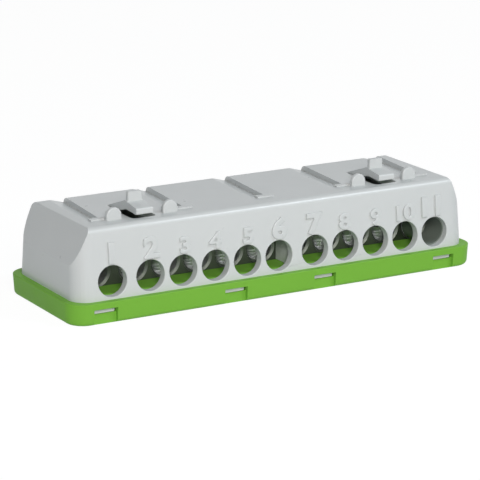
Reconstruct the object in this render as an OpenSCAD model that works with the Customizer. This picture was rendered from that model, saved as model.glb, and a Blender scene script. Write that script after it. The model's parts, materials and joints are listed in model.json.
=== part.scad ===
// Eleven-way earth terminal bar: a grey housing snapped onto a green base, with a plated bar and
// eleven clamp screws between them. The base lies on z = 0, wires enter along +Y and X runs along the row.

/* [Terminals] */
// Distance between neighbouring terminals
pitch = 8.4; // [8.3:0.05:8.5]
// Wider distance between terminals 1 and 2
first_gap = 9.6; // [9:0.1:9.8]
// Wider distance between terminals 6 and 7, where the partition stands
partition_gap = 9.8; // [9.4:0.1:10]
// Diameter of the wire entries in the housing
entry_d = 7.2; // [6.6:0.1:7.4]
// Height of the wire entries' axis
entry_z = 9.2; // [9:0.1:9.4]

/* [Housing] */
// Length of the housing where it stands on the base
housing_l = 104.9; // [104:0.1:105.5]
// Depth of the housing where it stands on the base
housing_w = 32.4; // [32:0.1:32.8]
// Height of the flat top
housing_h = 21.7; // [21.3:0.1:22.1]
// Length of the housing where the ends start to lean inwards
kink_l = 104.4; // [103.8:0.1:104.8]
// Height at which the ends start to lean inwards
kink_z = 13.1; // [12.6:0.1:13.8]
// Length of the flat top
top_l = 96.6; // [96:0.1:97.2]
// Depth of the top
top_w = 29.5; // [29:0.1:30]
// Radius of the upright corners
corner_r = 4.2; // [3.6:0.1:4.6]
// Radius along the front and back edges of the top
crease_r = 1.8; // [1.5:0.1:1.9]
// Thickness of the front, back and end walls
wall = 2; // [1.9:0.1:2.2]
// Thickness of the top
top_t = 1.8; // [1.7:0.1:2]

/* [Top grooves] */
// Distance between the steps in the top
step_pitch = 21.6; // [21.5:0.1:21.7]
// Depth of each step at its front end
step_front_d = 0.5; // [0.4:0.1:0.7]
// Depth of each step at the back of the housing
step_back_d = 1.35; // [1:0.05:1.45]
// Length of the ramp at the back of the housing
ramp_l = 4.5; // [4:0.1:5]

/* [Latches] */
// Distance between the two latches
latch_span = 65; // [64.5:0.1:65.5]
// Width of the spring arm
latch_w = 4.2; // [3.8:0.1:4.4]
// Height of the thumb tab above the top
tab_h = 5.05; // [4.8:0.05:5.4]
// Distance of each ear from its latch
ear_x = 7.15; // [6.8:0.05:7.4]
// Width of an ear
ear_w = 3.8; // [3.4:0.1:4]
// Height of an ear above the top
ear_h = 2.85; // [2.6:0.05:3.1]

/* [Base] */
// Length of the base at its rim
base_l = 108.4; // [107.8:0.1:109]
// Depth of the base at its rim
base_w = 35.7; // [35.3:0.1:36.2]
// Height of the rim
rim_z = 5.1; // [4.9:0.1:5.3]
// Radius of the base's upright corners
base_r = 4.8; // [4.4:0.1:5.4]
// Radius along the base's lower edge
sole_r = 1.1; // [0.8:0.1:1.3]
// Thickness of the base's floor
floor_t = 2.4; // [2.2:0.1:2.5]
// Width of a snap window
window_w = 5.9; // [5.6:0.1:6.2]

/* [Bar and screws] */
// Length of the terminal bar
bar_l = 96; // [95:0.5:97]
// Depth of the terminal bar along the wires
bar_w = 9.4; // [9:0.1:9.8]
// Height of the terminal bar
bar_h = 12.2; // [12:0.1:12.6]
// Diameter of the wire holes in the bar
wire_d = 6.8; // [6.4:0.1:6.8]
// Diameter of a clamp screw
screw_d = 5; // [4.8:0.1:5.2]
// Length of a clamp screw
screw_l = 8; // [7.8:0.1:8.2]

/* [Hidden] */
$fn = 64;
ways = 11;
fit = 0.1;
over = 1;

// Terminals along the row, and the ribs between them.
row_l = (ways - 3) * pitch + first_gap + partition_gap;
way_x = [for (i = [0:ways - 1])
    -row_l / 2 + i * pitch + (i > 0 ? first_gap - pitch : 0) + (i > 5 ? partition_gap - pitch : 0)];
partition_x = (way_x[5] + way_x[6]) / 2;
rib_x = [(way_x[2] + way_x[3]) / 2, partition_x, (way_x[7] + way_x[8]) / 2];
rib_t = 1.4;

// The housing's lip stands inside the base's rim, set in from the walls above it.
lip_in = 0.3;
lip_z = floor_t + fit;
end_crease_r = 0.5;

// Bar and screws.
bar_front = -7;
bar_back = bar_front + bar_w;
bar_top = floor_t + bar_h;
screw_y = bar_front + bar_w / 2;
screw_z = 0.9;
thread_fit = 0.1;
flare_d = wire_d + 3;
flare_l = 1.6;
slot_w = 0.9;
slot_d = 1.5;
tip = 0.9;
bevel = 0.3;

// Grooves and the low bars in front of them.
step_x = [for (i = [-2:2]) 0.85 + i * step_pitch];
step_front = -6.95;
stop_l = 4.2;
stop_w = 1.5;
stop_h = 0.35;
stop_x = -0.8;

// Latches: sizes along Y, then heights above the top.
latch_x = [-32.87, -32.87 + latch_span];
arm_root = 2.66;
tab_front = -6.95;
nose_front = -11.6;
tab_t = 1.2;
tab_w = 3.7;
tab_r = 0.5;
arm_t = 1.6;
tab_foot = 2.9;
nose_top = 2.15;
nose_t = 1.5;
slit_w = 0.5;
slit_end = -4.64;
mouth_w = 6.2;
mouth_r = 1;
ear_front = -10.54;
ear_t = 1.2;
ear_r = 0.3;

// Snap windows in the base and the nubs that catch in them.
window_x = [for (x = [-45.35, -11.95, 11.95, 45.35]) x - 0.6];
window_top = 3.65;
window_floor = 2.7;
notch_d = 1.1;
nub_w = 5;
nub_d = 0.7;
nub_low = 0.2;
nub_high = 0.8;
rim_draft = 0.3;
rim_bevel = 0.15;

// The shelf in front of the bar and the fence behind it.
shelf_l = 96;
shelf_top = 5.7;
shelf_t = 1.2;
fence_t = 1.2;
fence_top = 6.6;
driver_d = 5.8;

// A convex outline with every corner rounded by its own radius, made of straight lines and true arcs.
function unit(v) = v / norm(v);
function corner_half(p, i) =
    let (n = len(p), a = unit(p[(i + n - 1) % n] - p[i]), b = unit(p[(i + 1) % n] - p[i])) acos(a * b) / 2;
module rounded_outline(p, r) {
    n = len(p);
    polygon([for (i = [0:n - 1], side = [-1, 1])
        p[i] + unit(p[(i + n + side) % n] - p[i]) * r[i] / tan(corner_half(p, i))]);
    for (i = [0:n - 1])
        if (r[i] > 0) {
            inward = unit(unit(p[(i + n - 1) % n] - p[i]) + unit(p[(i + 1) % n] - p[i]));
            translate(p[i] + inward * r[i] / sin(corner_half(p, i))) circle(r[i]);
        }
}

module rounded_rectangle(l, w, r)
    rounded_outline([[-l, -w], [l, -w], [l, w], [-l, w]] / 2, [r, r, r, r]);

// Turns an outline drawn in X and Z, or in Y and Z, into a long prism across the part.
module across_y(l) rotate([90, 0, 0]) linear_extrude(l, center = true) children();
module across_x(l) rotate([90, 0, 90]) linear_extrude(l, center = true) children();

// What is left outside a corner of radius r where an end wall and a long wall meet. Per millimetre of
// height the end wall leans in by lean_x and the long wall by lean_y. The corner itself is the origin.
module corner_waste(r, lean_x, lean_y) {
    turn_y = -atan(lean_x);
    turn_x = -atan(lean_y * cos(turn_y));
    skew = asin(lean_x * lean_y * cos(turn_y) / sqrt(1 + lean_y * lean_y));
    reach = r + over;
    rotate([turn_x, turn_y, 0]) translate([-r, -r * (1 - sin(skew)) / cos(skew), -housing_h])
        linear_extrude(3 * housing_h) difference() {
            polygon([[0, 0], [reach, 0], [reach, reach], reach * [sin(skew), cos(skew)]]);
            circle(r);
        }
}

// The housing's outer form, or the hollow inside it when skin and roof are the wall thicknesses.
module housing_form(low, skin, roof) {
    high = housing_h - roof;
    foot = housing_l / 2 - skin;
    kink = kink_l / 2 - skin;
    end = top_l / 2 - skin;
    side = housing_w / 2 - skin;
    brow = top_w / 2 - skin;
    lean_x = (foot - kink) / (kink_z - rim_z);
    lean_y = (side - brow) / (high - rim_z);
    crease = max(crease_r - skin, 0);
    end_crease = max(end_crease_r - skin, 0);
    translate([0, 0, low]) linear_extrude(rim_z + over - low)
        rounded_rectangle(2 * (foot - lip_in), 2 * (side - lip_in), corner_r - skin - lip_in);
    difference() {
        intersection() {
            across_y(2 * housing_w) rounded_outline(
                [[-foot, rim_z], [foot, rim_z], [kink, kink_z], [end, high], [-end, high], [-kink, kink_z]],
                [0, 0, 0, end_crease, end_crease, 0]);
            across_x(2 * housing_l) rounded_outline(
                [[-side, rim_z], [side, rim_z], [brow, high], [-brow, high]], [0, 0, crease, crease]);
        }
        for (i = [-1, 1], j = [-1, 1])
            scale([i, j, 1]) translate([foot, side, rim_z]) corner_waste(corner_r - skin, lean_x, lean_y);
    }
}

// Wire entries through the front wall.
module wire_entries()
    for (x = way_x)
        translate([x, -housing_w / 2 - over, entry_z]) rotate([-90, 0, 0])
            cylinder(d = entry_d, h = 2 * wall + over);

// Sloping grooves in the top: each floor falls to an upright step and towards the open back edge.
module top_grooves() {
    run = top_w / 2 - step_front;
    fall = (step_back_d - step_front_d) / run;
    slope = step_back_d / ramp_l;
    for (x = step_x)
        intersection() {
            translate([x - 2 * ramp_l, step_front, housing_h - 2 * step_back_d])
                cube([2 * ramp_l, run + 2 * over, 4 * step_back_d]);
            translate([x, step_front, housing_h - step_front_d])
                rotate([-atan(fall * cos(atan(slope))), atan(slope), 0])
                    translate([-4 * ramp_l, -run, 0]) cube([8 * ramp_l, 3 * run, 2 * ramp_l]);
        }
}

// Low bars that close the front end of each groove.
module groove_stops()
    for (x = step_x)
        translate([x + stop_x - stop_l / 2, step_front - stop_w, housing_h - over])
            cube([stop_l, stop_w, stop_h + over]);

// The opening round one spring arm: a slit on each side and a wider mouth under the nose.
module latch_opening() {
    slit = latch_w / 2 + slit_w;
    mouth = mouth_w / 2;
    translate([0, 0, housing_h - 2 * top_t]) linear_extrude(3 * top_t) {
        translate([-slit, slit_end - over]) square([2 * slit, arm_root + over - slit_end]);
        rounded_outline([[-mouth, nose_front], [mouth, nose_front], [mouth, slit_end], [-mouth, slit_end]],
                        [mouth_r, mouth_r, 0, 0]);
    }
}

// One latch: a rising spring arm with a level nose for the rail and an upright thumb tab.
module latch() {
    tab_back = tab_front + tab_t;
    nose_low = nose_top - nose_t;
    translate([0, 0, housing_h]) {
        across_x(latch_w) {
            polygon([[arm_root + over, 0], [arm_root, 0], [tab_back, tab_foot], [tab_front, tab_foot],
                [tab_front, tab_foot - arm_t - 0.2], [arm_root, -arm_t], [arm_root + over, -arm_t]]);
            rounded_outline([[tab_back, tab_foot], [nose_front, nose_top], [nose_front, nose_low],
                             [tab_back, tab_foot - arm_t - 0.2]], [0, tab_r, ear_r, 0]);
        }
        intersection() {
            translate([0, tab_front + tab_t / 2, nose_top]) linear_extrude(tab_h)
                rounded_rectangle(tab_w, tab_t, ear_r);
            across_y(4 * tab_w) rounded_outline(
                [[-tab_w, 0], [tab_w, 0], [tab_w, 2 * tab_h], [-tab_w, 2 * tab_h]] / 2, [0, 0, tab_r, tab_r]);
        }
    }
}

// One half-round ear with softened edges, which the rail's edge stops against.
module ear() {
    spring = ear_h - ear_w / 2;
    translate([0, ear_front + ear_t / 2, housing_h]) {
        translate([0, 0, -over]) linear_extrude(spring + over) rounded_rectangle(ear_w, ear_t, ear_r);
        translate([0, 0, spring]) rotate([90, 0, 0]) rotate_extrude() intersection() {
            rounded_rectangle(ear_w, ear_t, ear_r);
            translate([0, -ear_t]) square([ear_w, 2 * ear_t]);
        }
    }
}

// Upright ribs under the top that bear on the bar, with the full partition among them.
module housing_ribs() {
    side = housing_w / 2 - wall / 2;
    high = housing_h - top_t / 2;
    for (x = rib_x)
        translate([x, 0, 0]) intersection() {
            across_x(rib_t) polygon([
                [bar_back + fit, fence_top + fit], [side, fence_top + fit], [side, high], [-side, high],
                [-side, bar_top], [bar_back + fit, bar_top]]);
            translate([-x, 0, 0]) housing_form(lip_z, wall / 2, top_t / 2);
        }
    translate([partition_x, 0, 0]) intersection() {
        across_x(rib_t) polygon([[-side, shelf_top + fit], [bar_front - fit, shelf_top + fit],
            [bar_front - fit, bar_top + over], [-side, bar_top + over]]);
        translate([-partition_x, 0, 0]) housing_form(lip_z, wall / 2, top_t / 2);
    }
}

// Snap nubs that catch in the base's windows, front and back.
module snap_nubs()
    for (x = window_x, side = [-1, 1])
        scale([1, side, 1]) translate([x, lip_in - housing_w / 2, window_floor])
            across_x(nub_w) polygon([[over, nub_low], [0, nub_low], [-nub_d, (nub_low + nub_high) / 2],
                                     [-nub_d, nub_high], [over, nub_high]]);

module cover()
    color([0.8, 0.81, 0.81]) {
        difference() {
            union() {
                difference() {
                    housing_form(lip_z, 0, 0);
                    housing_form(lip_z - over, wall, top_t);
                }
                housing_ribs();
                groove_stops();
            }
            wire_entries();
            top_grooves();
            for (x = latch_x) translate([x, 0, 0]) latch_opening();
        }
        for (x = latch_x) translate([x, 0, 0]) {
            latch();
            for (e = [-ear_x, ear_x]) translate([e, 0, 0]) ear();
        }
        snap_nubs();
    }

// The tray's side outline for a given half length: it widens slightly upwards between a rounded lower
// edge and a fine bevel round the rim.
module tray_outline(half)
    rounded_outline([[rim_draft - half, 0], [half - rim_draft, 0], [half, rim_z - rim_bevel],
                     [half - rim_bevel, rim_z], [rim_bevel - half, rim_z], [-half, rim_z - rim_bevel]],
                    [sole_r, sole_r, 0, 0, 0, 0]);

// The tray's outer form, made as one quarter and mirrored.
module base_form() {
    l = base_l / 2;
    w = base_w / 2;
    for (i = [-1, 1], j = [-1, 1])
        scale([i, j, 1]) intersection() {
            union() {
                across_y(base_w - 2 * base_r) tray_outline(l);
                across_x(base_l - 2 * base_r) tray_outline(w);
                translate([l - base_r, w - base_r, 0]) rotate_extrude() intersection() {
                    tray_outline(base_r);
                    square(2 * base_r);
                }
            }
            translate([0, 0, -over]) cube([base_l, base_w, 2 * rim_z]);
        }
}

// One snap window: a notch down the outside of the rim with a slot through its upper part.
module snap_window(x, side)
    scale([1, side, 1]) translate([x - window_w / 2, -base_w / 2, 0]) {
        translate([0, -over, -over]) cube([window_w, notch_d + over, window_top + over]);
        translate([0, 0, window_floor]) cube([window_w, notch_d + 2 * over, window_top - window_floor]);
    }

// The step inside the front wall on which the wires slide to the bar, held up by ribs.
module wire_shelf() {
    front = -housing_w / 2 + lip_in + wall + 2 * fit;
    depth = bar_front - 2 * fit - front;
    translate([-shelf_l / 2, front, shelf_top - shelf_t]) cube([shelf_l, depth, shelf_t]);
    for (i = [0:ways])
        translate([i == 0 ? -shelf_l / 2 : i == ways ? shelf_l / 2 - shelf_t
                    : (way_x[i - 1] + way_x[i]) / 2 - shelf_t / 2, front, floor_t / 2])
            cube([shelf_t, depth, shelf_top - floor_t]);
}

module base()
    color([0.45, 0.72, 0.27]) difference() {
        union() {
            difference() {
                base_form();
                translate([0, 0, floor_t]) linear_extrude(rim_z)
                    rounded_rectangle(housing_l - 2 * (lip_in - fit), housing_w - 2 * (lip_in - fit),
                                      corner_r - lip_in + fit);
            }
            wire_shelf();
            translate([-shelf_l / 2, bar_back + 2 * fit, floor_t / 2])
                cube([shelf_l, fence_t, fence_top - floor_t / 2]);
        }
        for (x = window_x, side = [-1, 1]) snap_window(x, side);
        for (x = way_x) translate([x, screw_y, -over]) cylinder(d = driver_d, h = floor_t + 2 * over);
    }

// The plated bar: a flared wire hole for every terminal, with a screw hole that meets it from below.
module bar()
    color([0.76, 0.76, 0.73]) difference() {
        translate([-bar_l / 2, bar_front, floor_t]) cube([bar_l, bar_w, bar_h]);
        for (x = way_x) {
            translate([x, bar_front - over, entry_z]) rotate([-90, 0, 0]) {
                cylinder(d = wire_d, h = bar_w + 2 * over);
                cylinder(d1 = flare_d, d2 = wire_d - 0.2, h = flare_l);
            }
            translate([x, screw_y, floor_t - over])
                cylinder(d = screw_d + thread_fit, h = entry_z - floor_t + over);
        }
    }

// A headless clamp screw with a slotted lower end and a rounded tip.
module clamp_screw(i) {
    r = screw_d / 2;
    color([0.8, 0.8, 0.78]) translate([way_x[i], screw_y, screw_z]) difference() {
        rotate_extrude() polygon([[0, 0], [r - bevel, 0], [r, bevel], [r, screw_l - tip], [r - tip, screw_l],
                                  [0, screw_l]]);
        translate([-screw_d, -slot_w / 2, -over]) cube([2 * screw_d, slot_w, slot_d + over]);
    }
}

cover();
base();
bar();
clamp_screw(0);  // screw_1
clamp_screw(1);  // screw_2
clamp_screw(2);  // screw_3
clamp_screw(3);  // screw_4
clamp_screw(4);  // screw_5
clamp_screw(5);  // screw_6
clamp_screw(6);  // screw_7
clamp_screw(7);  // screw_8
clamp_screw(8);  // screw_9
clamp_screw(9);  // screw_10
clamp_screw(10);  // screw_11
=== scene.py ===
"""Looks of an eleven-way earth terminal bar, built round its CAD frame.

Lengths are in metres. X runs along the row of terminals, the wires enter along +Y and the base
stands at Z 0.
"""

import json
import logging
import math
from dataclasses import dataclass
from enum import Enum
from typing import Callable, Iterable

import bpy
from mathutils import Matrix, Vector


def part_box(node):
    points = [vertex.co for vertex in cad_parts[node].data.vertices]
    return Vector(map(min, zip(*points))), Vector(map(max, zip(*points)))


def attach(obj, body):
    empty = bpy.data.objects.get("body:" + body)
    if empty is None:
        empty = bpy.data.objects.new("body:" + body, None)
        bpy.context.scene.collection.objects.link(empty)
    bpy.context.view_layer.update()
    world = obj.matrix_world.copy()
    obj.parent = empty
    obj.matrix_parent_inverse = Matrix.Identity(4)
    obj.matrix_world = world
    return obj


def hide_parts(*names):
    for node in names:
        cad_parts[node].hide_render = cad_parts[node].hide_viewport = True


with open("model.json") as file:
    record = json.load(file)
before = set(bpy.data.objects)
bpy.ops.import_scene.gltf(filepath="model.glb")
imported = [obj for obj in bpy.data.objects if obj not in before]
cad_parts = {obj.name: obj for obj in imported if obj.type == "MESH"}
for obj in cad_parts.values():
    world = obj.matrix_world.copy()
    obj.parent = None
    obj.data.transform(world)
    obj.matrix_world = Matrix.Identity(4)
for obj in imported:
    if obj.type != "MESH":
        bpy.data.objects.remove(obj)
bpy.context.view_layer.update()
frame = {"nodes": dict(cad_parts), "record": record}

LOG = logging.getLogger("terminal_bar")
MM = 0.001
WAYS = 11
# Points closer than this to a plane or a line count as lying on it.
NEAR = 0.01 * MM
# Doubled points this close are merged.
MERGE = 1e-6
# Neighbouring faces that turn by less than this are one flat face.
FLAT = math.radians(0.6)
# Faces that meet at less than these angles look round. The cover's 15 degree ramps keep their edges.
SMOOTH_FLATS = math.radians(12)
SMOOTH_ROUNDS = math.radians(30)

# A place, a direction, a scale or a colour.
Triple = tuple[float, float, float]
# What a shader socket can be given.
Feed = bpy.types.NodeSocket | float | Triple


class Body(Enum):
    """Bodies of the frame that new pieces ride on; a screw's takes the terminal's number."""

    HOUSING = "housing"
    SCREW = "screw_{}"


class Slot(Enum):
    """Material slots of the record."""

    HOUSING = "grey_housing"
    BASE = "green_base"
    BAR = "plated_bar"
    SCREW = "steel_screw"


class Finish(Enum):
    """Finishes that the pieces wear."""

    GREY = "grey_plastic"
    GREEN = "green_plastic"
    # Painted shade: the sleeve's plastic is darkened to stand for the shade inside the last entry.
    SLEEVE = "sleeve_plastic"
    # Painted shade and light on one plated metal: the bar's outside is painted dark, its bores bright
    # and its mouths between.
    NICKEL = "dull_nickel"
    BORE = "bored_metal"
    MOUTH = "flared_mouth"
    ZINC = "zinc_plate"


class Solid(Enum):
    """Ways to combine two solids."""

    CUT = "DIFFERENCE"
    TRIM = "INTERSECT"


def wire_entries() -> list[Triple]:
    """Find the middle of each wire entry's mouth.

    Returns:
        The places, from terminal 1 on.
    """
    places = {mount["name"]: mount["pos_m"] for mount in frame["record"]["mounts"]}
    return [tuple(places[f"wire_entry_{way}"]) for way in range(1, WAYS + 1)]


# ---------------------------------------------------------------- modelling helpers


def deselect_all() -> None:
    """Leave edit mode if needed and deselect every object."""
    if bpy.context.object and bpy.context.object.mode != "OBJECT":
        bpy.ops.object.mode_set(mode="OBJECT")
    bpy.ops.object.select_all(action="DESELECT")


def activate(piece: bpy.types.Object) -> None:
    """Make one object the only selected and active one.

    Args:
        piece: The object to work on.
    """
    deselect_all()
    piece.select_set(True)
    bpy.context.view_layer.objects.active = piece


def apply_modifiers(piece: bpy.types.Object) -> None:
    """Apply all modifiers of an object in order.

    Args:
        piece: The object whose modifiers become part of its mesh.
    """
    activate(piece)
    for modifier in list(piece.modifiers):
        bpy.ops.object.modifier_apply(modifier=modifier.name)


def apply_place(piece: bpy.types.Object) -> None:
    """Move an object's place, turn and size into its mesh.

    Args:
        piece: The object that ends at the origin.
    """
    activate(piece)
    bpy.ops.object.transform_apply(location=True, rotation=True, scale=True)


def join(parts: list[bpy.types.Object], name: str) -> bpy.types.Object:
    """Join several mesh objects into one piece.

    Args:
        parts: The meshes to join.
        name: Name of the joined piece.

    Returns:
        The joined object.
    """
    activate(parts[0])
    for part in parts[1:]:
        part.select_set(True)
    bpy.ops.object.join()
    parts[0].name = name
    return parts[0]


def copy_mesh(source: bpy.types.Object, name: str) -> bpy.types.Object:
    """Copy an object together with its mesh.

    Args:
        source: The object to copy.
        name: Name of the copy.

    Returns:
        The copy, linked to the scene.
    """
    twin = source.copy()
    twin.data = source.data.copy()
    twin.name = name
    twin.data.name = name
    bpy.context.scene.collection.objects.link(twin)
    return twin


def merged_copy(node: str, name: str) -> bpy.types.Object:
    """Copy a CAD node's mesh into a clean solid with flat faces made whole.

    Args:
        node: Name of the CAD node.
        name: Name of the copy.

    Returns:
        The merged copy.
    """
    twin = bpy.data.objects.new(name, frame["nodes"][node].data.copy())
    twin.data.name = name
    bpy.context.scene.collection.objects.link(twin)
    activate(twin)
    bpy.ops.object.mode_set(mode="EDIT")
    bpy.ops.mesh.select_all(action="SELECT")
    bpy.ops.mesh.remove_doubles(threshold=MERGE)
    bpy.ops.mesh.customdata_custom_splitnormals_clear()
    bpy.ops.mesh.dissolve_limited(angle_limit=FLAT)
    bpy.ops.object.mode_set(mode="OBJECT")
    return twin


def heal(piece: bpy.types.Object) -> None:
    """Merge a mesh's doubled points and turn its faces outwards.

    Args:
        piece: The closed mesh to work on.
    """
    activate(piece)
    bpy.ops.object.mode_set(mode="EDIT")
    bpy.ops.mesh.select_all(action="SELECT")
    bpy.ops.mesh.remove_doubles(threshold=MERGE)
    bpy.ops.mesh.normals_make_consistent(inside=False)
    bpy.ops.object.mode_set(mode="OBJECT")


def clear_selection(piece: bpy.types.Object, kind: str) -> None:
    """Deselect all of a mesh and leave it in object mode, ready for a selection in code.

    Args:
        piece: The mesh to work on.
        kind: VERT, EDGE or FACE, the select mode that edit mode gets.
    """
    activate(piece)
    bpy.ops.object.mode_set(mode="EDIT")
    bpy.ops.mesh.select_mode(type=kind)
    bpy.ops.mesh.select_all(action="DESELECT")
    bpy.ops.object.mode_set(mode="OBJECT")


def select_where(piece: bpy.types.Object, test: Callable[[Vector], bool]) -> None:
    """Select the vertices whose place passes a test and enter edit mode.

    Args:
        piece: The mesh to work on.
        test: Says whether a vertex at this place is wanted.
    """
    clear_selection(piece, "VERT")
    for vertex in piece.data.vertices:
        vertex.select = test(vertex.co)
    bpy.ops.object.mode_set(mode="EDIT")


def move_where(piece: bpy.types.Object, test: Callable[[Vector], bool], way: Triple) -> None:
    """Move the vertices whose place passes a test.

    Args:
        piece: The mesh to work on.
        test: Says whether a vertex at this place is wanted.
        way: How far they move along X, Y and Z.
    """
    select_where(piece, test)
    bpy.ops.transform.translate(value=way)
    bpy.ops.object.mode_set(mode="OBJECT")


def bevel_where(
    piece: bpy.types.Object, test: Callable[[Vector, Vector], bool], size: float, steps: int
) -> None:
    """Bevel the edges whose two ends pass a test.

    Args:
        piece: The mesh to work on.
        test: Says whether an edge between these two places is wanted.
        size: Width of the bevel.
        steps: Number of its faces across.
    """
    clear_selection(piece, "EDGE")
    points = piece.data.vertices
    for edge in piece.data.edges:
        first, last = edge.vertices
        edge.select = test(points[first].co, points[last].co)
    bpy.ops.object.mode_set(mode="EDIT")
    bpy.ops.mesh.bevel(offset=size, segments=steps, affect="EDGES", clamp_overlap=False)
    bpy.ops.object.mode_set(mode="OBJECT")


def combine(piece: bpy.types.Object, tool: bpy.types.Object, operation: Solid) -> None:
    """Cut or trim one solid with another and delete the tool.

    Args:
        piece: The solid that changes.
        tool: The solid that it is combined with.
        operation: Whether the tool is cut away or all but the tool is.
    """
    boolean = piece.modifiers.new("combine", "BOOLEAN")
    boolean.operation = operation.value
    boolean.solver = "EXACT"
    boolean.object = tool
    apply_modifiers(piece)
    bpy.data.objects.remove(tool, do_unlink=True)


def smooth(piece: bpy.types.Object, angle: float) -> None:
    """Smooth the shading over edges that are flatter than an angle.

    Args:
        piece: The mesh to shade.
        angle: The angle between faces, in radians.
    """
    activate(piece)
    bpy.ops.object.shade_smooth_by_angle(angle=angle)


def coat(piece: bpy.types.Object, *materials: bpy.types.Material) -> None:
    """Replace a piece's materials.

    Args:
        piece: The mesh to dress.
        materials: Its new materials in order.
    """
    piece.data.materials.clear()
    for material in materials:
        piece.data.materials.append(material)


# ---------------------------------------------------------------- shader helpers


def feed(tree: bpy.types.NodeTree, value: Feed, socket: bpy.types.NodeSocket) -> None:
    """Give a socket its value, by a link or as a number or colour.

    Args:
        tree: Tree that holds the socket.
        value: Output socket, number or colour.
        socket: Input that gets it.
    """
    if isinstance(value, bpy.types.NodeSocket):
        tree.links.new(value, socket)
    else:
        socket.default_value = (*value, 1) if isinstance(value, tuple) else value


def group_tree(
    name: str, inputs: Iterable[tuple[str, str, object]], outputs: Iterable[tuple[str, str]]
) -> tuple[bpy.types.NodeTree, bpy.types.Node, bpy.types.Node]:
    """Start a shader node group with named sockets.

    Args:
        name: Name of the group.
        inputs: Name, socket type and default of each input.
        outputs: Name and socket type of each output.

    Returns:
        The tree, its input node and its output node.
    """
    tree = bpy.data.node_groups.new(name, "ShaderNodeTree")
    for label, kind, default in inputs:
        socket = tree.interface.new_socket(label, in_out="INPUT", socket_type=kind)
        socket.default_value = default
    for label, kind in outputs:
        tree.interface.new_socket(label, in_out="OUTPUT", socket_type=kind)
    return tree, tree.nodes.new("NodeGroupInput"), tree.nodes.new("NodeGroupOutput")


def math_node(
    tree: bpy.types.NodeTree, operation: str, *values: Feed, clamp: bool = False
) -> bpy.types.NodeSocket:
    """Add a Math node.

    Args:
        tree: Tree that holds the node.
        operation: Blender's name of the operation.
        values: Its sockets or numbers in order.
        clamp: Whether the result is kept within 0 and 1.

    Returns:
        The node's output socket.
    """
    node = tree.nodes.new("ShaderNodeMath")
    node.operation = operation
    node.use_clamp = clamp
    for value, socket in zip(values, node.inputs):
        feed(tree, value, socket)
    return node.outputs[0]


def mix_colour(
    tree: bpy.types.NodeTree, factor: Feed, first: Feed, second: Feed
) -> bpy.types.NodeSocket:
    """Add a Mix node for colours.

    Args:
        tree: Tree that holds the node.
        factor: Socket or number between the two colours.
        first: Socket or colour at factor 0.
        second: Socket or colour at factor 1.

    Returns:
        The node's colour output.
    """
    node = tree.nodes.new("ShaderNodeMix")
    node.data_type = "RGBA"
    # The node has one set of sockets for each kind of data, so those for colours go by number.
    for place, value in ((0, factor), (6, first), (7, second)):
        feed(tree, value, node.inputs[place])
    return node.outputs[2]


def object_noise(
    tree: bpy.types.NodeTree, cells: float, detail: float, stretch: Triple = (1, 1, 1)
) -> bpy.types.NodeSocket:
    """Add noise on object coordinates.

    Args:
        tree: Tree that holds the nodes.
        cells: Scale of the noise, in cells per metre.
        detail: Number of octaves.
        stretch: Scale of the pattern along each axis.

    Returns:
        The noise value, from 0 to 1.
    """
    place = tree.nodes.new("ShaderNodeTexCoord")
    mapping = tree.nodes.new("ShaderNodeMapping")
    mapping.inputs["Scale"].default_value = stretch
    tree.links.new(place.outputs["Object"], mapping.inputs["Vector"])
    noise = tree.nodes.new("ShaderNodeTexNoise")
    noise.inputs["Detail"].default_value = detail
    noise.inputs["Scale"].default_value = cells
    tree.links.new(mapping.outputs[0], noise.inputs["Vector"])
    return noise.outputs["Fac"]


def bump(tree: bpy.types.NodeTree, height: bpy.types.NodeSocket, depth: Feed) -> bpy.types.NodeSocket:
    """Add a Bump node.

    Args:
        tree: Tree that holds the node.
        height: Height from 0 to 1.
        depth: Real depth of the pattern in metres.

    Returns:
        The node's normal output.
    """
    node = tree.nodes.new("ShaderNodeBump")
    node.inputs["Strength"].default_value = 1
    feed(tree, height, node.inputs["Height"])
    feed(tree, depth, node.inputs["Distance"])
    return node.outputs[0]


def seen_directly(tree: bpy.types.NodeTree) -> bpy.types.NodeSocket:
    """Tell the rays that show a background from those that light the part.

    Args:
        tree: Tree of the world or the floor.

    Returns:
        1 for rays from the camera, through glass or off a gloss, else 0.
    """
    path = tree.nodes.new("ShaderNodeLightPath")
    seen = math_node(tree, "MAXIMUM", path.outputs["Is Camera Ray"], path.outputs["Is Glossy Ray"])
    return math_node(tree, "MAXIMUM", seen, path.outputs["Is Transmission Ray"])


# ---------------------------------------------------------------- finishes


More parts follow.
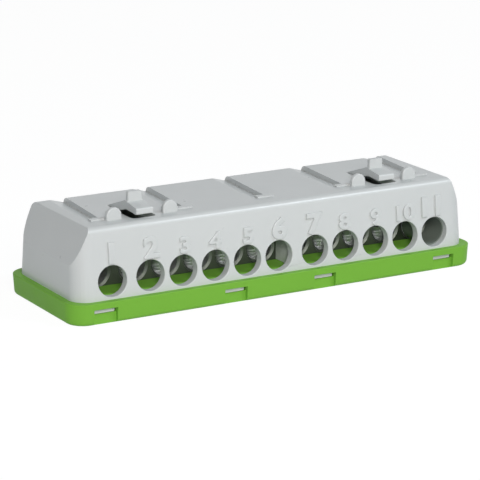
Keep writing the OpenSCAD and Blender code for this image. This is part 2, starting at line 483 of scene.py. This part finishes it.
@dataclass(frozen=True)
class MouldGrain:
    """Node group for the fine eroded grain and the faint flow marks of a moulded part."""

    name: str = "mould_grain"
    flow_cells: float = 45
    flow_stretch: Triple = (0.5, 1.2, 1.2)
    flow_gain: float = 1.6
    flow_offset: float = -0.3
    grain_cells: float = 5200
    grain_share: float = 0.25
    shade_share: float = 0.8
    cloud_cells: float = 260
    cloud_spread: float = 0.12

    def build(self) -> bpy.types.NodeTree:
        """Build the group: tint and grain in, colour, roughness and normal out.

        Returns:
            The finished group.
        """
        tree, enter, leave = group_tree(
            self.name,
            [
                ("Colour", "NodeSocketColor", (0.8, 0.8, 0.8, 1)),
                ("Shade", "NodeSocketColor", (0.75, 0.75, 0.75, 1)),
                ("Roughness", "NodeSocketFloat", 0.4),
                ("Grain Depth", "NodeSocketFloat", 4e-6),
            ],
            [
                ("Colour", "NodeSocketColor"),
                ("Roughness", "NodeSocketFloat"),
                ("Normal", "NodeSocketVector"),
            ],
        )
        flow = object_noise(tree, self.flow_cells, detail=3, stretch=self.flow_stretch)
        cloud = object_noise(tree, self.cloud_cells, detail=3)
        grain = object_noise(tree, self.grain_cells, detail=2)
        drift = math_node(tree, "MULTIPLY_ADD", flow, self.flow_gain, self.flow_offset, clamp=True)
        speck = math_node(tree, "MULTIPLY_ADD", grain, self.grain_share, drift)
        shading = math_node(tree, "MULTIPLY", speck, self.shade_share, clamp=True)
        tint = mix_colour(tree, shading, enter.outputs["Colour"], enter.outputs["Shade"])
        spread = self.cloud_spread
        patch = math_node(tree, "MULTIPLY_ADD", cloud, spread, -spread / 2)
        gloss = math_node(tree, "ADD", enter.outputs["Roughness"], patch, clamp=True)
        relief = bump(tree, grain, enter.outputs["Grain Depth"])
        feed(tree, tint, leave.inputs["Colour"])
        feed(tree, gloss, leave.inputs["Roughness"])
        feed(tree, relief, leave.inputs["Normal"])
        return tree


@dataclass(frozen=True)
class Plastic:
    """Finish of a satin moulded plastic."""

    name: str
    colour: Triple
    shade: Triple
    roughness: float
    specular: float
    grain: bpy.types.NodeTree
    grain_depth: float = 5e-6
    refraction: float = 1.46

    def material(self) -> bpy.types.Material:
        """Build the material.

        Returns:
            The finished material.
        """
        material = bpy.data.materials.new(self.name)
        material.use_nodes = True
        tree = material.node_tree
        shader = tree.nodes["Principled BSDF"]
        shader.inputs["IOR"].default_value = self.refraction
        shader.inputs["Specular IOR Level"].default_value = self.specular
        group = tree.nodes.new("ShaderNodeGroup")
        group.node_tree = self.grain
        feed(tree, self.colour, group.inputs["Colour"])
        feed(tree, self.shade, group.inputs["Shade"])
        feed(tree, self.roughness, group.inputs["Roughness"])
        feed(tree, self.grain_depth, group.inputs["Grain Depth"])
        feed(tree, group.outputs["Colour"], shader.inputs["Base Color"])
        feed(tree, group.outputs["Roughness"], shader.inputs["Roughness"])
        feed(tree, group.outputs["Normal"], shader.inputs["Normal"])
        return material


@dataclass(frozen=True)
class PlatedMetal:
    """Finish of a plated metal with drawn or turned lines."""

    name: str
    colour: Triple
    stain: Triple
    roughness: float
    line_stretch: Triple
    line_depth: float
    line_cells: float = 9000
    bloom_cells: float = 320
    bloom_power: float = 2.0
    bloom_spread: float = 0.22

    def material(self) -> bpy.types.Material:
        """Build the material.

        Returns:
            The finished material.
        """
        material = bpy.data.materials.new(self.name)
        material.use_nodes = True
        tree = material.node_tree
        shader = tree.nodes["Principled BSDF"]
        shader.inputs["Metallic"].default_value = 1
        lines = object_noise(tree, self.line_cells, detail=3, stretch=self.line_stretch)
        bloom = object_noise(tree, self.bloom_cells, detail=4)
        stained = math_node(tree, "POWER", bloom, self.bloom_power, clamp=True)
        lowest = self.roughness - self.bloom_spread / 2
        gloss = math_node(tree, "MULTIPLY_ADD", bloom, self.bloom_spread, lowest)
        feed(tree, mix_colour(tree, stained, self.colour, self.stain), shader.inputs["Base Color"])
        feed(tree, gloss, shader.inputs["Roughness"])
        feed(tree, bump(tree, lines, self.line_depth), shader.inputs["Normal"])
        return material


def make_finishes() -> dict[Finish, bpy.types.Material]:
    """Build every finish once.

    Returns:
        The material of each finish.
    """
    grain = MouldGrain().build()
    recipes = {
        Finish.GREY: Plastic(
            Finish.GREY.value, colour=(0.62, 0.64, 0.635), shade=(0.6, 0.62, 0.615),
            roughness=0.3, specular=0.5, grain=grain,
        ),
        Finish.GREEN: Plastic(
            Finish.GREEN.value, colour=(0.19, 0.455, 0.05), shade=(0.18, 0.435, 0.046),
            roughness=0.5, specular=0.18, grain=grain,
        ),
        # Painted shade: housing plastic painted dark as the shade deep inside the last wire entry.
        Finish.SLEEVE: Plastic(
            Finish.SLEEVE.value, colour=(0.19, 0.22, 0.19), shade=(0.17, 0.2, 0.17),
            roughness=0.5, specular=0.3, grain=grain,
        ),
        # Painted shade and light: the bar's outside is painted dark as shade, its bores bright as
        # light and its flared mouths between, all one plated metal.
        Finish.NICKEL: PlatedMetal(
            Finish.NICKEL.value, colour=(0.13, 0.15, 0.115), stain=(0.09, 0.11, 0.08),
            roughness=0.5, line_stretch=(0.02, 1, 1), line_depth=2e-6,
        ),
        Finish.BORE: PlatedMetal(
            Finish.BORE.value, colour=(0.86, 0.88, 0.86), stain=(0.72, 0.74, 0.72),
            roughness=0.42, line_stretch=(1, 0.02, 1), line_depth=3e-6,
        ),
        Finish.MOUTH: PlatedMetal(
            Finish.MOUTH.value, colour=(0.34, 0.37, 0.33), stain=(0.24, 0.27, 0.23),
            roughness=0.45, line_stretch=(1, 0.05, 1), line_depth=3e-6,
        ),
        Finish.ZINC: PlatedMetal(
            Finish.ZINC.value, colour=(0.9, 0.91, 0.92), stain=(0.75, 0.76, 0.77),
            roughness=0.3, line_stretch=(1, 1, 0.1), line_depth=2e-6,
        ),
    }
    return {finish: recipe.material() for finish, recipe in recipes.items()}


# ---------------------------------------------------------------- the part's pieces


@dataclass(frozen=True)
class CoverForm:
    """Outside form of the cover: half its length and depth where its walls turn, and how high."""

    foot_x: float = 52.45 * MM
    foot_y: float = 16.2 * MM
    foot_z: float = 5.1 * MM
    kink_x: float = 52.2 * MM
    kink_z: float = 13.1 * MM
    crown_y: float = 14.75 * MM
    crown_z: float = 21.7 * MM

    @property
    def lean(self) -> float:
        """Angle by which the front and back walls lean inwards."""
        return math.atan2(self.foot_y - self.crown_y, self.crown_z - self.foot_z)


@dataclass
class Cover:
    """The moulded cover, finished from its CAD solid: round corners, askew steps and full nubs."""

    form: CoverForm = CoverForm()
    corner_r: float = 4.2 * MM
    corner_steps: int = 16
    spare: float = 0.008 * MM
    skirt_spread: Triple = (1.05, 1.1, 1)
    # The steps of the top, from the front to the back edge.
    steps_each_side: int = 2
    step_pitch: float = 21.6 * MM
    middle_step_x: float = 0.85 * MM
    step_front_y: float = -6.95 * MM
    step_back_y: float = 12.5 * MM
    step_low_z: float = 21.2 * MM
    step_depth: float = 2 * MM
    step_skew: float = 1.85 * MM
    ramp_front: float = 1.667 * MM
    ramp_back: float = 4.5 * MM
    ramp_near: float = 0.05 * MM
    front_ramp_growth: float = -2.3 * MM
    front_step_drop: float = -0.55 * MM
    # The stop bar in front of each step.
    stop_shift: float = -0.8 * MM
    stop_front_y: float = -8.5 * MM
    stop_depth: float = 1.2 * MM
    stop_left: float = -4.2 * MM
    stop_right: float = 1.6 * MM
    # The snap nubs and the lips that they grow from.
    nub_y: float = 16.6 * MM
    nub_low_z: float = 3.2 * MM
    nub_drop: float = -0.67 * MM
    lip_y: float = 15.9 * MM
    lip_low_z: float = 2.9 * MM
    lip_drop: float = -0.36 * MM
    nub_top_z: float = 3.5 * MM
    nub_lift: float = 0.1 * MM
    nub_near: float = 0.02 * MM
    # The rims of the wire entries.
    entry_r: float = 3.6 * MM
    rim_front_y: float = -15 * MM
    rim_near: float = 0.02 * MM
    rim_round: float = 0.2 * MM
    rim_steps: int = 3

    def trimmer(self) -> bpy.types.Object:
        """Model the leaning form with rounded corners that the cover is trimmed to.

        Returns:
            The trimming solid, wider than the cover below its foot.
        """
        wall, foot_z = self.form, self.form.foot_z
        top = 2 * wall.crown_z
        rise = top - foot_z
        lean_x = (wall.foot_x - wall.kink_x) / (wall.kink_z - foot_z)
        lean_y = (wall.foot_y - wall.crown_y) / (wall.crown_z - foot_z)
        half_x = wall.foot_x + self.spare
        half_y = wall.foot_y + self.spare
        deselect_all()
        bpy.ops.mesh.primitive_cube_add(size=2, location=(0, 0, 0))
        block = bpy.context.object
        block.name = "trimmer"
        block.scale = (half_x, half_y, rise / 2)
        block.location.z = (top + foot_z) / 2
        apply_place(block)
        select_where(block, lambda at: at.z > wall.crown_z)
        bpy.ops.transform.resize(
            value=(1 - lean_x * rise / half_x, 1 - lean_y * rise / half_y, 1),
            center_override=(0, 0, top),
        )
        bpy.ops.object.mode_set(mode="OBJECT")
        bevel_where(
            block,
            lambda low, high: abs(low.z - high.z) > wall.crown_z / 2,
            self.corner_r,
            self.corner_steps,
        )
        select_where(block, lambda at: at.z < foot_z + self.spare)
        bpy.ops.mesh.extrude_region_move(TRANSFORM_OT_translate={"value": (0, 0, -self.spare)})
        bpy.ops.transform.resize(value=self.skirt_spread, center_override=(0, 0, foot_z))
        bpy.ops.mesh.extrude_region_move(TRANSFORM_OT_translate={"value": (0, 0, -foot_z)})
        bpy.ops.object.mode_set(mode="OBJECT")
        heal(block)
        return block

    def set_step(self, cover: bpy.types.Object, x: float) -> None:
        """Bring one step of the top to its askew course and its stop bar to its place.

        Args:
            cover: The merged copy of the cover.
            x: Where the step stands along the row.
        """
        front = self.step_front_y
        shoulder = self.form.crown_z - self.step_depth
        stop_low_z = self.form.crown_z - self.stop_depth

        def at_back(at: Vector) -> bool:
            """Say whether a point belongs to the step's back end."""
            return (
                at.y > self.step_back_y
                and at.z > shoulder
                and -self.ramp_back - NEAR < at.x - x < NEAR
            )

        def at_front_ramp(at: Vector) -> bool:
            """Say whether a point is the front end of the ramp's far edge."""
            return (
                abs(at.y - front) < NEAR
                and at.z > shoulder
                and abs(at.x - x + self.ramp_front) < self.ramp_near
            )

        def at_front_foot(at: Vector) -> bool:
            """Say whether a point is the front end of the step's foot."""
            return (
                abs(at.y - front) < NEAR
                and abs(at.z - self.step_low_z) < NEAR
                and abs(at.x - x) < NEAR
            )

        def at_stop(at: Vector) -> bool:
            """Say whether a point belongs to the stop bar or the step's front end."""
            return (
                self.stop_front_y < at.y < front + NEAR
                and at.z > stop_low_z
                and self.stop_left < at.x - x < self.stop_right
            )

        move_where(cover, at_back, (self.step_skew, 0, 0))
        move_where(cover, at_front_ramp, (self.front_ramp_growth, 0, 0))
        move_where(cover, at_front_foot, (0, 0, self.front_step_drop))
        move_where(cover, at_stop, (0, self.stop_shift, 0))

    def fill_nubs(self, cover: bpy.types.Object) -> None:
        """Give the snap nubs the full upright face that fills their windows.

        Args:
            cover: The merged copy of the cover.
        """
        for y, z, rise in (
            (self.nub_y, self.nub_low_z, self.nub_drop),
            (self.nub_y, self.nub_top_z, self.nub_lift),
            (self.lip_y, self.lip_low_z, self.lip_drop),
            (self.lip_y, self.nub_top_z, self.nub_lift),
        ):
            move_where(
                cover,
                lambda at, y=y, z=z: max(abs(abs(at.y) - y), abs(at.z - z)) < self.nub_near,
                (0, 0, rise),
            )

    def soften_rims(self, cover: bpy.types.Object) -> None:
        """Round the outer rim of every wire entry.

        Args:
            cover: The trimmed cover.
        """
        entries = wire_entries()

        def on_rim(at: Vector) -> bool:
            """Say whether a point lies on the outer rim of a wire entry."""
            reach = min(math.hypot(at.x - x, at.z - z) for x, _, z in entries)
            return at.y < self.rim_front_y and abs(reach - self.entry_r) < self.rim_near

        bevel_where(
            cover,
            lambda first, last: on_rim(first) and on_rim(last),
            self.rim_round,
            self.rim_steps,
        )

    def build(self, plastic: bpy.types.Material) -> None:
        """Finish the cover.

        Args:
            plastic: The grey plastic.
        """
        cover = merged_copy("cover", "cover_moulding")
        for place in range(-self.steps_each_side, self.steps_each_side + 1):
            self.set_step(cover, self.middle_step_x + place * self.step_pitch)
        self.fill_nubs(cover)
        combine(cover, self.trimmer(), Solid.TRIM)
        self.soften_rims(cover)
        smooth(cover, SMOOTH_FLATS)
        coat(cover, plastic)
        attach(cover, Body.HOUSING.value)
        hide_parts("cover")
        LOG.info("cover moulded")


@dataclass(frozen=True)
class Figure:
    """A size of figures: their height, and how much is added round their strokes."""

    height: float
    weight: float


@dataclass
class Numerals:
    """The raised terminal numbers on the cover's leaning front face."""

    form: CoverForm = CoverForm()
    base_z: float = 13.1 * MM
    tall: Figure = Figure(5.3 * MM, 0.29 * MM)
    short: Figure = Figure(4.1 * MM, 0.21 * MM)
    tall_ways: tuple[int, ...] = (1, 2, 6, 7, 11)
    raised: float = 0.52 * MM
    sunk: float = 0.2 * MM
    edge: float = 0.17 * MM
    edge_steps: int = 2
    curve_steps: int = 6
    widening: float = 1.2
    # Height of the typeface's figures as a share of its size.
    figure_share: float = 0.73
    # How far each number stands right of its entry's middle, in millimetres.
    nudges: tuple[float, ...] = (-0.1, 0.4, 0.6, 0, 0.3, 0.2, -0.3, -0.2, 0.1, -0.4, -0.9)

    def numeral(self, text: str, figure: Figure, x: float) -> bpy.types.Object:
        """Model one raised number.

        Args:
            text: The number.
            figure: Size of its figures.
            x: Place of its middle along the row.

        Returns:
            The number as a mesh at its place.
        """
        deselect_all()
        bpy.ops.object.text_add()
        letters = bpy.context.object
        letters.data.body = text
        letters.data.align_x = "CENTER"
        letters.data.size = (figure.height - 2 * figure.weight) / self.figure_share
        letters.data.offset = figure.weight - self.edge
        letters.data.resolution_u = self.curve_steps
        letters.data.extrude = (self.raised + self.sunk) / 2 - self.edge
        letters.data.bevel_depth = self.edge
        letters.data.bevel_resolution = self.edge_steps
        bpy.ops.object.convert(target="MESH")
        lean = self.form.lean
        letters.rotation_euler = (math.pi / 2 - lean, 0, 0)
        letters.scale.x = self.widening
        low_z = self.base_z + figure.weight
        front_y = -self.form.foot_y + (low_z - self.form.foot_z) * math.tan(lean)
        outward = Vector((0, -math.cos(lean), math.sin(lean)))
        letters.location = Vector((x, front_y, low_z)) + outward * (self.raised - self.sunk) / 2
        apply_place(letters)
        return letters

    def build(self, plastic: bpy.types.Material) -> None:
        """Model the numbers 1 to 11 as one piece.

        Args:
            plastic: The grey plastic.
        """
        figures = []
        for way, (entry, nudge) in enumerate(zip(wire_entries(), self.nudges), start=1):
            figure = self.tall if way in self.tall_ways else self.short
            figures.append(self.numeral(str(way), figure, entry[0] + nudge * MM))
        numerals = join(figures, "terminal_numerals")
        heal(numerals)
        smooth(numerals, SMOOTH_ROUNDS)
        coat(numerals, plastic)
        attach(numerals, Body.HOUSING.value)
        LOG.info("numerals raised")


@dataclass
class Base:
    """The green snap-on base, with its snap windows reaching lower than in its CAD solid."""

    window_floor: float = 2.7 * MM
    window_drop: float = -0.24 * MM
    window_inner_y: float = 15.9 * MM
    window_outer_y: float = 16.8 * MM

    def build(self, plastic: bpy.types.Material) -> None:
        """Finish the base.

        Args:
            plastic: The green plastic.
        """
        base = merged_copy("base", "base_tray")
        move_where(
            base,
            lambda at: abs(at.z - self.window_floor) < NEAR
            and self.window_inner_y < abs(at.y) < self.window_outer_y,
            (0, 0, self.window_drop),
        )
        coat(base, plastic)
        smooth(base, SMOOTH_FLATS)
        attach(base, Body.HOUSING.value)
        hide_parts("base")
        LOG.info("base finished")


@dataclass
class Bar:
    """The plated bar: painted shade darkens its outside, painted light brightens its bores, and its
    flared mouths are painted between the two.
    """

    flare_back: float = -5.5 * MM
    skin_index: int = 0
    bore_index: int = 1
    mouth_index: int = 2

    def build(
        self, skin: bpy.types.Material, bore: bpy.types.Material, mouth: bpy.types.Material
    ) -> None:
        """Finish the bar.

        Args:
            skin: Finish of the sawn and plated outside, darkened with painted shade.
            bore: Finish of the bored holes, brightened with painted light.
            mouth: Finish of the flared mouths, painted between the other two.
        """
        bar = merged_copy("bar", "bar_bored")
        low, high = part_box("bar")
        coat(bar, skin, bore, mouth)
        for face in bar.data.polygons:
            centre = face.center
            gaps = [min(centre[axis] - low[axis], high[axis] - centre[axis]) for axis in range(3)]
            # Outer faces take the painted shade; flared mouths and bores take painted light.
            if min(gaps) < NEAR:
                face.material_index = self.skin_index
            elif centre.y < self.flare_back:
                face.material_index = self.mouth_index
            else:
                face.material_index = self.bore_index
        smooth(bar, SMOOTH_ROUNDS)
        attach(bar, Body.HOUSING.value)
        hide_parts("bar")
        LOG.info("bar finished")


@dataclass
class EndSleeve:
    """The plain guide sleeve behind the last wire entry."""

    outer_r: float = 3.58 * MM
    wall: float = 0.25 * MM
    front_y: float = -14.3 * MM
    back_y: float = -7.15 * MM
    facets: int = 64
    rim_share: float = 0.25
    rim_angle: float = math.radians(50)

    def build(self, entry: Triple, plastic: bpy.types.Material) -> None:
        """Model the sleeve.

        Args:
            entry: Middle of the entry's mouth.
            plastic: The housing's grey plastic, painted darker as the shade deep inside the entry.
        """
        x, _, z = entry
        deselect_all()
        bpy.ops.mesh.primitive_cylinder_add(
            vertices=self.facets, radius=self.outer_r, depth=self.back_y - self.front_y,
            end_fill_type="NOTHING", location=(x, (self.back_y + self.front_y) / 2, z),
            rotation=(math.pi / 2, 0, 0),
        )
        sleeve = bpy.context.object
        sleeve.name = "end_sleeve"
        apply_place(sleeve)
        walls = sleeve.modifiers.new("walls", "SOLIDIFY")
        walls.thickness = self.wall
        rims = sleeve.modifiers.new("rims", "BEVEL")
        rims.width = self.wall * self.rim_share
        rims.limit_method = "ANGLE"
        rims.angle_limit = self.rim_angle
        apply_modifiers(sleeve)
        smooth(sleeve, SMOOTH_ROUNDS)
        coat(sleeve, plastic)
        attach(sleeve, Body.HOUSING.value)
        LOG.info("sleeve fitted")


@dataclass
class ClampScrew:
    """A threaded headless clamp screw with a slotted lower end and a bevelled tip."""

    radius: float = 2.5 * MM
    core: float = 2.03 * MM
    thread_pitch: float = 0.8 * MM
    crest: float = 0.1 * MM
    turn_steps: int = 28
    spare_turns: int = 3
    length: float = 8 * MM
    tip: float = 0.9 * MM
    foot_bevel: float = 0.35 * MM
    slot_width: float = 0.9 * MM
    slot_depth: float = 1.5 * MM
    blank_facets: int = 56
    blank_over: float = 0.01 * MM
    blank_short: float = 0.002 * MM
    smooth_angle: float = math.radians(38)

    def thread(self) -> bpy.types.Object:
        """Wind the thread's profile into a closed rod as long as the screw.

        Returns:
            The threaded rod round the Z axis.
        """
        deselect_all()
        bpy.ops.mesh.primitive_plane_add(size=MM, location=(0, 0, 0))
        rod = bpy.context.object
        bpy.ops.object.mode_set(mode="EDIT")
        bpy.ops.mesh.select_all(action="SELECT")
        bpy.ops.mesh.merge(type="CENTER")
        bpy.ops.transform.translate(value=(self.core, 0, -self.thread_pitch))
        flank = (self.thread_pitch - 2 * self.crest) / 2
        depth = self.radius - self.core
        for way in ((depth, 0, flank), (0, 0, self.crest), (-depth, 0, flank), (0, 0, self.crest)):
            bpy.ops.mesh.extrude_region_move(TRANSFORM_OT_translate={"value": way})
        bpy.ops.object.mode_set(mode="OBJECT")
        apply_place(rod)
        winding = rod.modifiers.new("thread", "SCREW")
        winding.axis = "Z"
        winding.screw_offset = self.thread_pitch
        winding.iterations = int(self.length / self.thread_pitch) + self.spare_turns
        winding.steps = self.turn_steps
        winding.render_steps = self.turn_steps
        winding.use_merge_vertices = True
        winding.merge_threshold = MERGE
        apply_modifiers(rod)
        self.trim_end(rod, 0.0, above=False)
        self.trim_end(rod, self.length, above=True)
        heal(rod)
        return rod

    def trim_end(self, rod: bpy.types.Object, height: float, above: bool) -> None:
        """Cut the rod off level and close the cut.

        Args:
            rod: The threaded rod.
            height: Where the cut lies.
            above: Whether the part above the cut is the one that goes.
        """
        activate(rod)
        bpy.ops.object.mode_set(mode="EDIT")
        bpy.ops.mesh.select_mode(type="VERT")
        bpy.ops.mesh.select_all(action="SELECT")
        bpy.ops.mesh.bisect(
            plane_co=(0, 0, height), plane_no=(0, 0, 1), use_fill=True,
            clear_inner=not above, clear_outer=above, threshold=1e-8,
        )
        bpy.ops.object.mode_set(mode="OBJECT")

    def envelope(self) -> bpy.types.Object:
        """Model the turned blank with its bevelled foot and tip and its driver slot.

        Returns:
            The blank that the threaded rod is trimmed to.
        """
        deselect_all()
        bpy.ops.mesh.primitive_cylinder_add(
            vertices=self.blank_facets, radius=self.radius + self.blank_over,
            depth=self.length - self.blank_short, location=(0, 0, self.length / 2),
        )
        blank = bpy.context.object
        apply_place(blank)
        for height, size in ((self.length, self.tip), (0.0, self.foot_bevel)):
            bevel_where(
                blank,
                lambda first, last, end=height: max(abs(first.z - end), abs(last.z - end)) < NEAR,
                size,
                1,
            )
        deselect_all()
        bpy.ops.mesh.primitive_cube_add(size=1)
        cutter = bpy.context.object
        cutter.scale = (3 * self.radius, self.slot_width, 2 * self.slot_depth)
        apply_place(cutter)
        combine(blank, cutter, Solid.CUT)
        return blank

    def pattern(self) -> bpy.types.Object:
        """Model one screw that stands on the origin.

        Returns:
            The screw, to be copied to every terminal.
        """
        screw = self.thread()
        combine(screw, self.envelope(), Solid.TRIM)
        screw.name = "screw_pattern"
        smooth(screw, self.smooth_angle)
        return screw

    def fit(self, pattern: bpy.types.Object, way: int, zinc: bpy.types.Material) -> None:
        """Set one copy of the screw in place of its CAD node.

        Args:
            pattern: The screw at the origin.
            way: Number of the terminal.
            zinc: The plated finish.
        """
        node = Body.SCREW.value.format(way)
        low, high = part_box(node)
        screw = copy_mesh(pattern, f"clamp_screw_{way}")
        screw.location = ((low[0] + high[0]) / 2, (low[1] + high[1]) / 2, low[2])
        apply_place(screw)
        coat(screw, zinc)
        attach(screw, node)
        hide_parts(node)
        LOG.info("fitted %s", screw.name)

    def build(self, zinc: bpy.types.Material) -> None:
        """Fit a screw at every terminal.

        Args:
            zinc: The plated finish.
        """
        pattern = self.pattern()
        for way in range(1, WAYS + 1):
            self.fit(pattern, way, zinc)
        bpy.data.objects.remove(pattern, do_unlink=True)


# ---------------------------------------------------------------- the studio


@dataclass(frozen=True)
class Lamp:
    """A square soft lamp: its place, the length of its side, its watts and its colour."""

    name: str
    place: Triple
    size: float
    power: float
    colour: Triple

    def hang(self, target: Triple) -> None:
        """Add the lamp, turned to face a place.

        Args:
            target: The place that it faces.
        """
        deselect_all()
        bpy.ops.object.light_add(type="AREA", location=self.place)
        lamp = bpy.context.object
        lamp.name = self.name
        lamp.data.shape = "SQUARE"
        lamp.data.size = self.size
        lamp.data.energy = self.power
        lamp.data.color = self.colour
        lamp.rotation_euler = (Vector(self.place) - Vector(target)).to_track_quat("Z", "Y").to_euler()


@dataclass
class Studio:
    """Camera, lamps, floor and world."""

    azimuth: float = math.radians(-29.781)
    elevation: float = math.radians(15.072)
    distance: float = 565.774 * MM
    target: Triple = (-1.513 * MM, 0, 9.449 * MM)
    lens: float = 178.9
    sensor: float = 36
    nearest: float = 0.01
    farthest: float = 20
    soft_colour: Triple = (0.8, 0.93, 1.05)
    soft_strength: float = 0.07
    floor_size: float = 6
    floor_cells: int = 4
    # Just under the base, so that the two faces don't fight.
    floor_z: float = -0.02 * MM
    floor_colour: Triple = (0.8, 0.8, 0.8)
    floor_roughness: float = 0.9
    floor_glow: float = 1.06
    glow_share: float = 0.9
    lamps: tuple[Lamp, ...] = (
        Lamp("key", place=(-0.28, -0.76, 0.42), size=0.3, power=5.25, colour=(1, 0.965, 0.945)),
        Lamp("brow", place=(0.34, -0.34, 0.51), size=0.13, power=1.5, colour=(0.84, 0.94, 1)),
        Lamp("side_fill", place=(-0.75, -0.1, 0.16), size=0.4, power=0.6, colour=(0.86, 0.95, 1)),
    )

    def camera(self) -> None:
        """Place the camera."""
        away = Vector(
            (
                math.sin(self.azimuth) * math.cos(self.elevation),
                -math.cos(self.azimuth) * math.cos(self.elevation),
                math.sin(self.elevation),
            )
        )
        deselect_all()
        bpy.ops.object.camera_add(location=Vector(self.target) + away * self.distance)
        camera = bpy.context.object
        camera.name = "camera"
        camera.rotation_euler = away.to_track_quat("Z", "Y").to_euler()
        camera.data.lens = self.lens
        camera.data.sensor_width = self.sensor
        camera.data.clip_start = self.nearest
        camera.data.clip_end = self.farthest
        bpy.context.scene.camera = camera

    def world(self) -> None:
        """Light the scene softly and show white to camera and gloss."""
        world = bpy.data.worlds.new("studio")
        bpy.context.scene.world = world
        world.use_nodes = True
        tree = world.node_tree
        tree.nodes.clear()
        seen = seen_directly(tree)
        soft = tree.nodes.new("ShaderNodeBackground")
        feed(tree, self.soft_colour, soft.inputs["Color"])
        feed(tree, self.soft_strength, soft.inputs["Strength"])
        white = tree.nodes.new("ShaderNodeBackground")
        feed(tree, (1, 1, 1), white.inputs["Color"])
        feed(tree, 1, white.inputs["Strength"])
        blend = tree.nodes.new("ShaderNodeMixShader")
        out = tree.nodes.new("ShaderNodeOutputWorld")
        for value, socket in zip((seen, soft.outputs[0], white.outputs[0]), blend.inputs):
            feed(tree, value, socket)
        feed(tree, blend.outputs[0], out.inputs[0])

    def floor(self) -> None:
        """Lay a pale floor that keeps the part's shadow and is white to the camera."""
        deselect_all()
        bpy.ops.mesh.primitive_grid_add(
            x_subdivisions=self.floor_cells, y_subdivisions=self.floor_cells,
            size=self.floor_size, location=(0, 0, self.floor_z),
        )
        floor = bpy.context.object
        floor.name = "floor"
        material = bpy.data.materials.new("pale_floor")
        material.use_nodes = True
        tree = material.node_tree
        shader = tree.nodes["Principled BSDF"]
        feed(tree, self.floor_colour, shader.inputs["Base Color"])
        feed(tree, self.floor_roughness, shader.inputs["Roughness"])
        veil = math_node(tree, "MULTIPLY", seen_directly(tree), self.glow_share)
        glow = tree.nodes.new("ShaderNodeEmission")
        feed(tree, self.floor_glow, glow.inputs["Strength"])
        blend = tree.nodes.new("ShaderNodeMixShader")
        for value, socket in zip((veil, shader.outputs[0], glow.outputs[0]), blend.inputs):
            feed(tree, value, socket)
        feed(tree, blend.outputs[0], tree.nodes["Material Output"].inputs[0])
        floor.data.materials.append(material)

    def build(self) -> None:
        """Set up the whole studio."""
        bpy.context.scene.view_settings.view_transform = "Standard"
        self.camera()
        self.world()
        self.floor()
        for lamp in self.lamps:
            lamp.hang(self.target)
        LOG.info("studio ready")


def main() -> None:
    """Build and dress every piece in order."""
    logging.basicConfig(level=logging.INFO, format="%(name)s: %(message)s")
    deselect_all()
    Studio().build()
    finishes = make_finishes()
    Numerals().build(finishes[Finish.GREY])
    Cover().build(finishes[Finish.GREY])
    Base().build(finishes[Finish.GREEN])
    Bar().build(finishes[Finish.NICKEL], finishes[Finish.BORE], finishes[Finish.MOUTH])
    EndSleeve().build(wire_entries()[-1], finishes[Finish.SLEEVE])
    ClampScrew().build(finishes[Finish.ZINC])
    LOG.info("size written")


if __name__ == "__main__":
    main()
